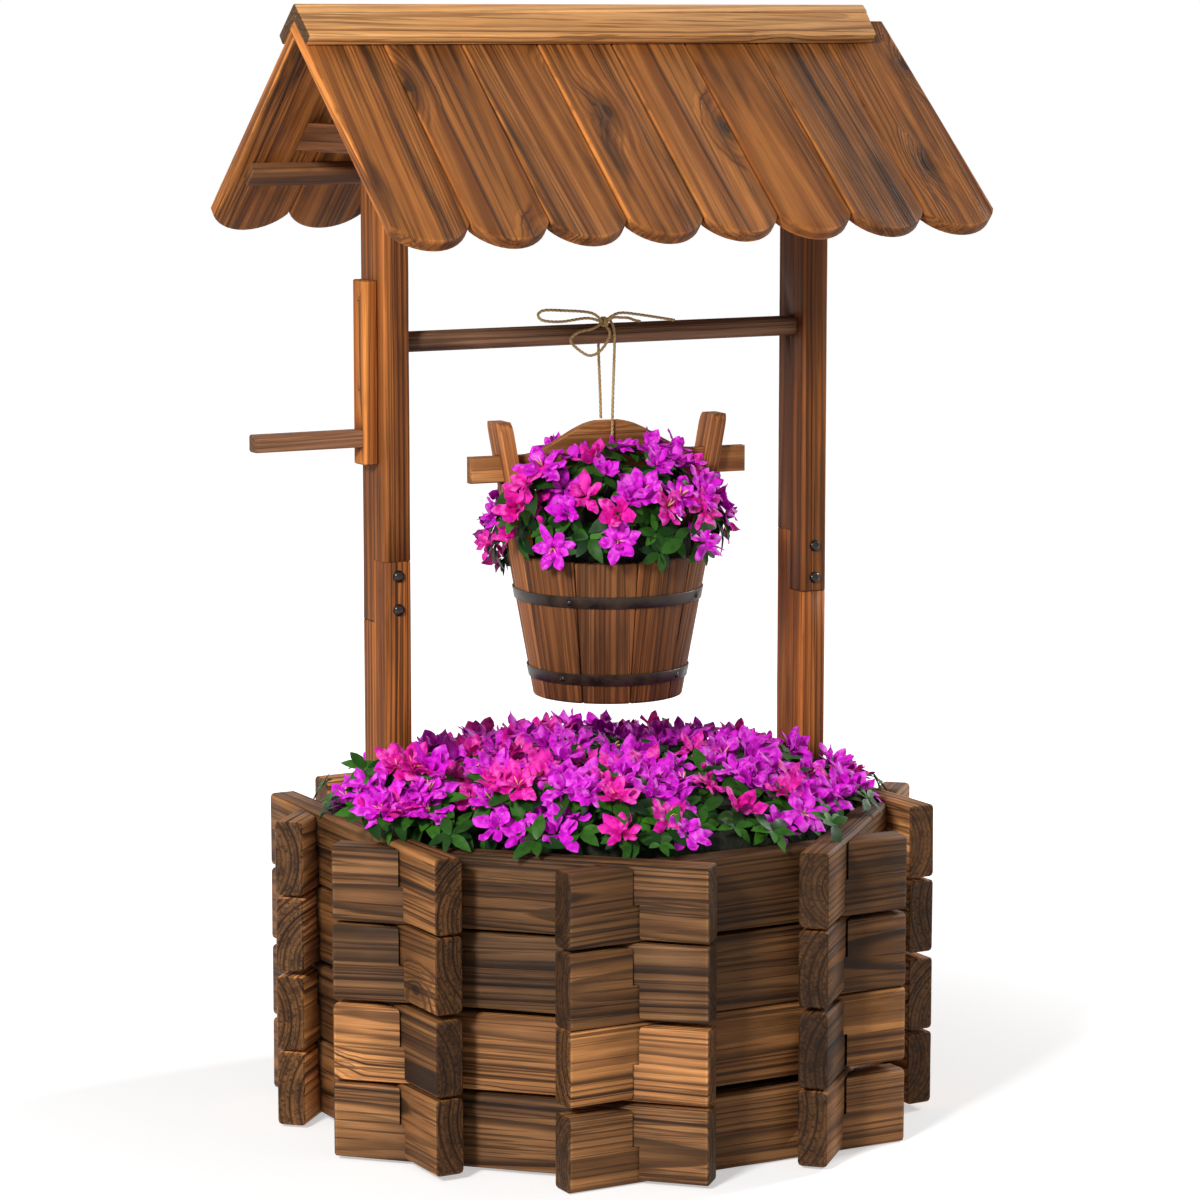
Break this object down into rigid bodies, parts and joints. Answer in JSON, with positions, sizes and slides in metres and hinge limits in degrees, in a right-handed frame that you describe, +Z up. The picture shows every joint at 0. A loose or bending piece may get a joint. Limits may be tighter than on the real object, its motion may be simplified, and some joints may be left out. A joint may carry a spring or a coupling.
{
  "type": "wishing well planter",
  "caption": "Freestanding octagonal wooden tub of notched planks, planted with flowers, with two posts, a gabled roof of round-tailed boards and a planted bucket hung from a rod.",
  "frame": {"origin": "centre of the floor board's underside, on the ground", "axes": "+X along the rod and the roof ridge, away from the crank; +Y towards the back; +Z up"},
  "size_m": [0.7306, 0.6796, 1.1429],
  "materials": {
    "tub_wood": "charred and brushed, satin",
    "post_wood": "charred and brushed, satin",
    "dark_wood": "charred, satin",
    "crank_wood": "lightly charred, satin",
    "roof_wood": "charred and brushed, satin",
    "cap_wood": "lightly charred, satin",
    "bucket_wood": "charred and brushed, satin",
    "hoop_iron": "dark, satin",
    "black_steel": "black, satin",
    "jute": "twisted natural fibre",
    "planting": "leaves and flowers over soil"
  },
  "bodies": {
    "well": {"plank_front_1": "tub_wood", "plank_front_2": "tub_wood", "plank_front_3": "tub_wood", "plank_front_4": "tub_wood", "plank_front_right_1": "tub_wood", "plank_front_right_2": "tub_wood", "plank_front_right_3": "tub_wood", "plank_front_right_4": "tub_wood", "plank_right_end_1": "tub_wood", "plank_right_end_2": "tub_wood", "plank_right_end_3": "tub_wood", "plank_right_end_4": "tub_wood", "plank_back_right_1": "tub_wood", "plank_back_right_2": "tub_wood", "plank_back_right_3": "tub_wood", "plank_back_right_4": "tub_wood", "plank_back_1": "tub_wood", "plank_back_2": "tub_wood", "plank_back_3": "tub_wood", "plank_back_4": "tub_wood", "plank_back_left_1": "tub_wood", "plank_back_left_2": "tub_wood", "plank_back_left_3": "tub_wood", "plank_back_left_4": "tub_wood", "plank_left_end_1": "tub_wood", "plank_left_end_2": "tub_wood", "plank_left_end_3": "tub_wood", "plank_left_end_4": "tub_wood", "plank_front_left_1": "tub_wood", "plank_front_left_2": "tub_wood", "plank_front_left_3": "tub_wood", "plank_front_left_4": "tub_wood", "floor_board": "tub_wood", "left_post_lower": "post_wood", "left_post_upper": "post_wood", "left_post_bolt_1": "black_steel", "left_post_bolt_2": "black_steel", "right_post_lower": "post_wood", "right_post_upper": "post_wood", "right_post_bolt_1": "black_steel", "right_post_bolt_2": "black_steel", "crank_arm": "crank_wood", "crank_handle": "crank_wood", "roof_panel_front": "roof_wood", "roof_panel_back": "roof_wood", "ridge_cap_front": "cap_wood", "ridge_cap_back": "cap_wood", "left_roof_tie": "dark_wood", "right_roof_tie": "dark_wood", "tub_planting": "planting"},
    "rod": {"rod": "dark_wood", "twine_bow": "jute"},
    "strands": {"twine_strands": "jute"},
    "bucket": {"bucket_staves": "bucket_wood", "bucket_bottom": "bucket_wood", "bucket_hoop_upper": "hoop_iron", "bucket_hoop_lower": "hoop_iron", "bucket_bar": "crank_wood", "twine_sling": "jute", "bucket_planting": "planting"}
  },
  "joints": [
    {"name": "rod_turn", "type": "hinge", "parent": "well", "child": "rod", "pos_m": [0, 0, 0.8084], "axis": [1, 0, 0], "range_deg": [-60, 60]},
    {"name": "bucket_sway", "type": "hinge", "parent": "rod", "child": "strands", "pos_m": [0.009, 0, 0.8084], "axis": [0, 1, 0], "range_deg": [-23, 26]},
    {"name": "bucket_twist", "type": "hinge", "parent": "strands", "child": "bucket", "pos_m": [0.009, 0, 0.719], "axis": [0, 0, 1], "range_deg": [-60, 60]}
  ]
}
